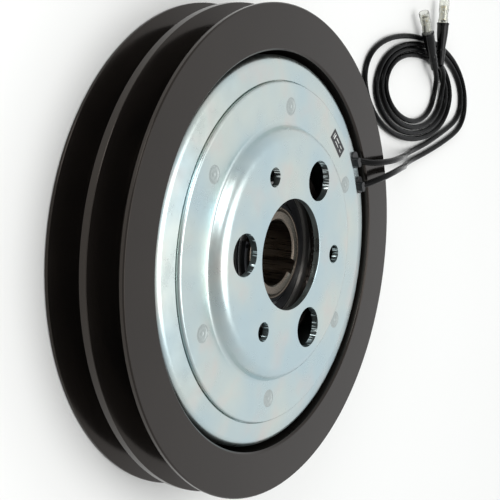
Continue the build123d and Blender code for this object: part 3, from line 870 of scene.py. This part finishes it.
def make_shell(material):
    """Coil shell: its rear face falls outwards to a rolled corner, with two pockets for the grommets."""
    corners = [
        (SHELL_BORE_R, SHELL_FRONT, 0.4),
        (SHELL_BORE_R + POLE_WALL, SHELL_FRONT, 0.4),
        (SHELL_BORE_R + POLE_WALL, CAVITY_END, 0),
        (SHELL_R - POLE_WALL, CAVITY_END, 0),
        (SHELL_R - POLE_WALL, SHELL_FRONT, 0.4),
        (SHELL_R, SHELL_FRONT, 0.4),
        (SHELL_R, SHELL_CORNER_Z, 4.0),
        (PLATE_SEAT_R, SHELL_REAR, 0.35),
        (PLATE_SEAT_R, PLATE_UNDER, 0),
        (SHELL_BORE_R, PLATE_UNDER, 0.4),
    ]
    shell = turned("shell", rounded(corners), 320)
    pockets = []
    for k, azimuth in enumerate(GROMMET_AZIMUTHS):
        plan = oval_plan(GROMMET_R, azimuth, GROMMET_LENGTH, GROMMET_WIDTH)
        pockets.append(prism(f"pocket_{k}", plan, GROMMET_TOP - GROMMET_DEPTH, GROMMET_TOP + 3))
    cut(shell, pockets)
    soften_edges(shell, 0.25)
    return dress(shell, "field", material, ["coil_shell"])


def make_grommets(material):
    """Oval rubber grommets, each with a rounded hood behind its lead."""
    for k, azimuth in enumerate(GROMMET_AZIMUTHS):
        plan = oval_plan(GROMMET_R, azimuth, GROMMET_LENGTH, GROMMET_WIDTH)
        block = prism(f"grommet_{'ab'[k]}", plan, GROMMET_TOP - GROMMET_DEPTH, GROMMET_TOP)
        hood_plan = oval_plan(
            (HOOD_BACK_R + HOOD_FRONT_R) / 2, azimuth, 2 * HOOD_HALF_WIDTH, HOOD_FRONT_R - HOOD_BACK_R
        )
        cut(block, [prism("hood", hood_plan, GROMMET_TOP - HOOD_ROOT, HOOD_TOP)], "UNION")
        soften_edges(block, 0.8, 4, 40)
        dress(block, "field", material, ["lead_grommets"] if k == 0 else [])


def dome_outline():
    """Section of the mounting plate: flat rim, pressed dome, flat top with the pilot hole."""
    slope = (DOME_BASE_R - DOME_TOP_R) / (DOME_TOP - PLATE_REAR)
    shift = PLATE_THICKNESS * math.hypot(1, slope) - slope * PLATE_THICKNESS
    return rounded([
        (PILOT_R, DOME_TOP, 0.3),
        (DOME_TOP_R, DOME_TOP, 6.0),
        (DOME_BASE_R, PLATE_REAR, 2.0),
        (PLATE_R, PLATE_REAR, 1.2),
        (PLATE_R, PLATE_UNDER, 0.3),
        (DOME_BASE_R - shift, PLATE_UNDER, 5.0),
        (DOME_TOP_R - shift, DOME_TOP - PLATE_THICKNESS, 3.0),
        (PILOT_R, DOME_TOP - PLATE_THICKNESS, 0.3),
    ])


def make_plate(material):
    """Domed mounting plate with its bolt holes, access holes and seats for the weld marks."""
    plate = turned("plate", dome_outline(), 320)
    drills = []
    for k in range(HOLES_IN_CIRCLE):
        turn = 360 / HOLES_IN_CIRCLE * k
        bolt = polar(HOLE_CIRCLE_R, BOLT_HOLE_AZIMUTH + turn)
        access = polar(HOLE_CIRCLE_R, ACCESS_HOLE_AZIMUTH + turn)
        drills.append(prism(f"bolt_{k}", circle_plan(bolt, BOLT_HOLE_R), PLATE_UNDER, DOME_TOP + 2))
        drills.append(prism(f"access_{k}", circle_plan(access, ACCESS_HOLE_R, 96), PLATE_UNDER, DOME_TOP + 2))
    for k in range(WELDS):
        weld = polar(WELD_CIRCLE_R, WELD_AZIMUTH + 360 / WELDS * k)
        drills.append(prism(f"weld_{k}", circle_plan(weld, WELD_R), PLATE_REAR - WELD_DEPTH, PLATE_REAR + 1))
    cut(plate, drills)
    soften_edges(plate, 0.25)
    return dress(plate, "field", material, ["mounting_plate"])


def make_weld_marks(material):
    """Six spot welds, each a shallow dish with a pressed ring and a centre dot, in one piece."""
    corners = [
        (0.0, PLATE_REAR - 0.30, 0),
        (0.7, PLATE_REAR - 0.28, 0.3),
        (1.1, PLATE_REAR - 0.16, 0.3),
        (2.4, PLATE_REAR - 0.20, 0.6),
        (3.0, PLATE_REAR - 0.10, 0.4),
        (3.4, PLATE_REAR - 0.01, 0.2),
        (WELD_R, PLATE_REAR - 0.02, 0.05),
        (WELD_R, PLATE_REAR - WELD_DEPTH, 0),
        (0.0, PLATE_REAR - WELD_DEPTH, 0),
    ]
    dish = turned("weld_marks", rounded(corners), 48)
    joined = bmesh.new()
    for k in range(WELDS):
        copy = dish.data.copy()
        copy.transform(Matrix.Translation(polar(WELD_CIRCLE_R, WELD_AZIMUTH + 360 / WELDS * k)))
        joined.from_mesh(copy)
        bpy.data.meshes.remove(copy)
    joined.to_mesh(dish.data)
    joined.free()
    return dress(dish, "field", material)


def make_hub(material):
    """Keyed hub sleeve."""
    corners = [
        (SHAFT_R, HUB_FRONT + 0.7, 0.1),
        (SHAFT_R + 0.7, HUB_FRONT, 0.1),
        (SPIGOT_R, HUB_FRONT, 0.3),
        (SPIGOT_R, FLANGE_REAR, 0),
        (HUB_SHOULDER_R, FLANGE_REAR, 0.4),
        (HUB_SHOULDER_R, BEARING_FRONT, 0.4),
        (BEARING_SEAT_R, BEARING_FRONT, 0),
        (BEARING_SEAT_R, BEARING_REAR, 0),
        (BEARING_SEAT_R - SHAFT_RING_DEPTH, BEARING_REAR, 0),
        (BEARING_SEAT_R - SHAFT_RING_DEPTH, BEARING_REAR + SHAFT_RING_GROOVE, 0),
        (BEARING_SEAT_R, BEARING_REAR + SHAFT_RING_GROOVE, 0),
        (BEARING_SEAT_R, HUB_END - 2.0, 0.5),
        (BEARING_SEAT_R - 2.0, HUB_END, 0.5),
        (SHAFT_R + 0.7, HUB_END, 0.2),
        (SHAFT_R, HUB_END - 0.7, 0.2),
    ]
    hub = turned("hub", rounded(corners), 192)
    along, side = outward(KEY_AZIMUTH)
    plan = []
    for reach, offset in ((0, -1), (KEY_TOP, -1), (KEY_TOP, 1), (0, 1)):
        plan.append((along * mm(reach) + side * mm(offset * KEY_WIDTH / 2))[:2])
    cut(hub, [prism("keyway", plan, HUB_FRONT - 2, HUB_END + 2)])
    soften_edges(hub, 0.15)
    return dress(hub, "hub", material, ["hub_sleeve"])


# ---- label ---------------------------------------------------------------------------------------

# Outwards and sideways from the label's middle, width and length, in millimetres
LABEL_BARS = (
    (0.2, 5.2, 2.6, 0.45),
    (0.2, 4.0, 2.6, 0.8),
    (0.9, 0.6, 0.55, 3.4),
    (-0.9, 0.2, 0.4, 4.2),
    (0.9, -3.6, 0.4, 2.4),
    (-0.9, -4.2, 0.4, 1.8),
)


def make_label(film, ink):
    """Small black label with plain pale bars, its long side along the plate's edge."""
    along, side = outward(LABEL_AZIMUTH)
    centre = along * mm(LABEL_CIRCLE_R)

    def box_plan(radial, tangent, width, length):
        plan = []
        for a, b in ((-1, -1), (1, -1), (1, 1), (-1, 1)):
            reach = along * mm(radial + a * width / 2)
            shift = side * mm(tangent + b * length / 2)
            plan.append((centre + reach + shift)[:2])
        return plan

    top = PLATE_REAR + LABEL_FILM
    label = prism("label", box_plan(0, 0, LABEL_WIDTH, LABEL_LENGTH), PLATE_REAR, top)
    soften_edges(label, 0.04, 2)
    dress(label, "field", film, ["rating_label"])
    for k, bar_sizes in enumerate(LABEL_BARS):
        bar = prism(f"label_bar_{k}", box_plan(*bar_sizes), top, PLATE_REAR + LABEL_FILM + LABEL_INK)
        dress(bar, "field", ink)


# ---- leaf springs --------------------------------------------------------------------------------

def spring_plan(first, last, end_steps=24):
    """Plan outline of a strap with round ends, in metres."""
    run = (last - first).normalized()
    side = Vector((-run.y, run.x, 0))
    half = mm(SPRING_WIDTH / 2)
    outline = []
    for end, sign in ((last, 1), (first, -1)):
        for k in range(end_steps + 1):
            swing = math.radians(-90 + 180 / end_steps * k)
            outline.append(end + (run * math.cos(swing) + side * math.sin(swing)) * half * sign)
    return [tuple(point[:2]) for point in outline]


def make_springs(material):
    """Straps from the drive flange to the armature, laid flat and cut finely along their length."""
    for k in range(SPRINGS):
        turn = 360 / SPRINGS * k
        first = polar(SPRING_INNER_R, SPRING_AZIMUTH + turn)
        last = polar(SPRING_OUTER_R, SPRING_AZIMUTH + SPRING_SWEEP + turn)
        plan = spring_plan(first, last)
        strap = prism(f"leaf_spring_{k}", plan, SPRING_FRONT, SPRING_FRONT + SPRING_THICKNESS)
        holes = []
        for end in (first, last):
            hole = circle_plan(end, SPRING_HOLE_R)
            holes.append(prism("rivet_hole", hole, SPRING_FRONT - 1, SPRING_FRONT + 2))
        cut(strap, holes)
        split = bmesh.new()
        split.from_mesh(strap.data)
        run = last - first
        for step in range(1, SPRING_CUTS):
            geometry = split.verts[:] + split.edges[:] + split.faces[:]
            place = first + run * step / SPRING_CUTS
            bmesh.ops.bisect_plane(split, geom=geometry, plane_co=place, plane_no=run.normalized())
        split.to_mesh(strap.data)
        split.free()
        strap.data.materials.clear()
        strap.data.materials.append(material)
        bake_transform(strap)
        if k == 0:
            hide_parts("leaf_springs")


# ---- studio --------------------------------------------------------------------------------------

FLOOR_SIZE = 6.0
STUDIO_FRONT = 0.46
STUDIO_BACK = 1.02
STUDIO_LIGHTS = (
    ("overhead", (0.0, 0.0, 1.6), 1.5, 13.0),
    ("key", (-0.75, -1.1, 0.55), 0.7, 7.0),
)


def make_studio():
    """Pale floor, a soft room that is brighter behind the clutch, a wide lamp overhead and a low key lamp."""
    scene = bpy.context.scene
    scene.view_settings.view_transform = "Standard"

    def sheet(body):
        bmesh.ops.create_grid(body, x_segments=2, y_segments=2, size=FLOOR_SIZE)

    floor = new_piece("floor", sheet)
    paper, tree, shader, place = new_material("studio_paper", "eeeeec", 0.6)
    tree.links.new(two_tone(tree, grain(tree, place, 400.0), "ebebe8", "f1f1ef"), shader.inputs["Base Color"])
    floor.data.materials.append(paper)
    world = bpy.data.worlds.new("studio")
    world.use_nodes = True
    tree = world.node_tree
    sky = tree.nodes["Background"]
    sky.inputs["Color"].default_value = srgb("f4f6f8")
    towards = add(tree, "ShaderNodeTexCoord").outputs["Generated"]
    back = add(tree, "ShaderNodeSeparateXYZ", links={"Vector": towards}).outputs["Y"]
    tree.links.new(spread(tree, back, -1.0, 1.0, STUDIO_FRONT, STUDIO_BACK), sky.inputs["Strength"])
    scene.world = world
    for name, place, size, power in STUDIO_LIGHTS:
        lamp = bpy.data.lights.new(name, "AREA")
        lamp.shape = "DISK"
        lamp.size = size
        lamp.energy = power
        holder = bpy.data.objects.new(name, lamp)
        scene.collection.objects.link(holder)
        holder.location = place
        holder.rotation_euler = (Vector((0, 0, 0)) - Vector(place)).to_track_quat("-Z", "Y").to_euler()


# ---- build ---------------------------------------------------------------------------------------

make_camera()

pvc = extruded_pvc()
lead_a = lead_wire("lead_wire_a", LEAD_A_ROUTE + loop_points(LEAD_A_TURNS) + LEAD_A_TAIL)
lead_b = lead_wire("lead_wire_b", LEAD_B_ROUTE + loop_points(LEAD_B_TURNS) + LEAD_B_TAIL)
dress(lead_a, "field", pvc, ["lead_a", "lead_loops"])
dress(lead_b, "field", pvc, ["lead_b", "lead_loops"])

vinyl, clear, tin = dipped_vinyl(), clear_vinyl(), tinned_brass()
for letter, place in (("a", CONNECTOR_A), ("b", CONNECTOR_B)):
    boot = connector_boot(f"connector_boot_{letter}", place)
    sleeve = connector_sleeve(f"connector_sleeve_{letter}", place)
    terminal = connector_terminal(f"connector_terminal_{letter}", place)
    dress(boot, "field", vinyl, [f"boot_{letter}"])
    dress(sleeve, "field", clear, [f"sleeve_{letter}"])
    dress(terminal, "field", tin, [f"terminal_{letter}"])
for wire, route, letter in ((lead_a, LEAD_A_ROUTE, "a"), (lead_b, LEAD_B_ROUTE, "b")):
    curve_length(wire)

zinc = bright_zinc()
enamel = black_enamel()
hub_steel = turned_hub_steel()
bearing_steel = ground_steel("ground_bearing_steel", "a9a8a6", "7f7e7c", 0.25)
rivet_steel = ground_steel("cold_headed_steel", "8f8d8a", "6f6d6a", 0.35)
ball_steel = ground_steel("polished_ball_steel", "c9c9c9", "b8b8b8", 0.08)
spring_black = phosphated_spring_steel()
make_pulley(enamel)
make_shell(zinc)
make_plate(zinc)
make_weld_marks(weld_mark())
make_grommets(moulded_rubber("grommet_rubber", "060607", 0.3))
make_hub(hub_steel)
make_label(printed_film(), printed_ink())
make_springs(blued_spring_strip())

kept = {
    "coil_bobbin": moulded_nylon("bobbin_nylon", "18181a", "2a2a2c"),
    "coil_winding": enamelled_copper(),
    "coil_potting": cast_resin(),
    "hub_retaining_ring": spring_black,
    "bearing_retaining_ring": rivet_steel,
    "bearing_inner_ring": bearing_steel,
    "bearing_outer_ring": bearing_steel,
    "bearing_seals": moulded_rubber("seal_nitrile", "15161a", 0.4),
    "bearing_balls": ball_steel,
    "bearing_cages": moulded_nylon("cage_nylon", "6b5f4a", "857a64"),
    "drive_flange": enamel,
    "stop_plate": zinc,
    "stop_bumpers": moulded_rubber("bumper_rubber", "121212", 0.5),
    "hub_rivets": rivet_steel,
    "armature_rivets": rivet_steel,
    "armature_plate": ground_armature_iron(),
}
for name, material in kept.items():
    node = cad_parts[name]
    node.data.materials.clear()
    node.data.materials.append(material)

make_studio()
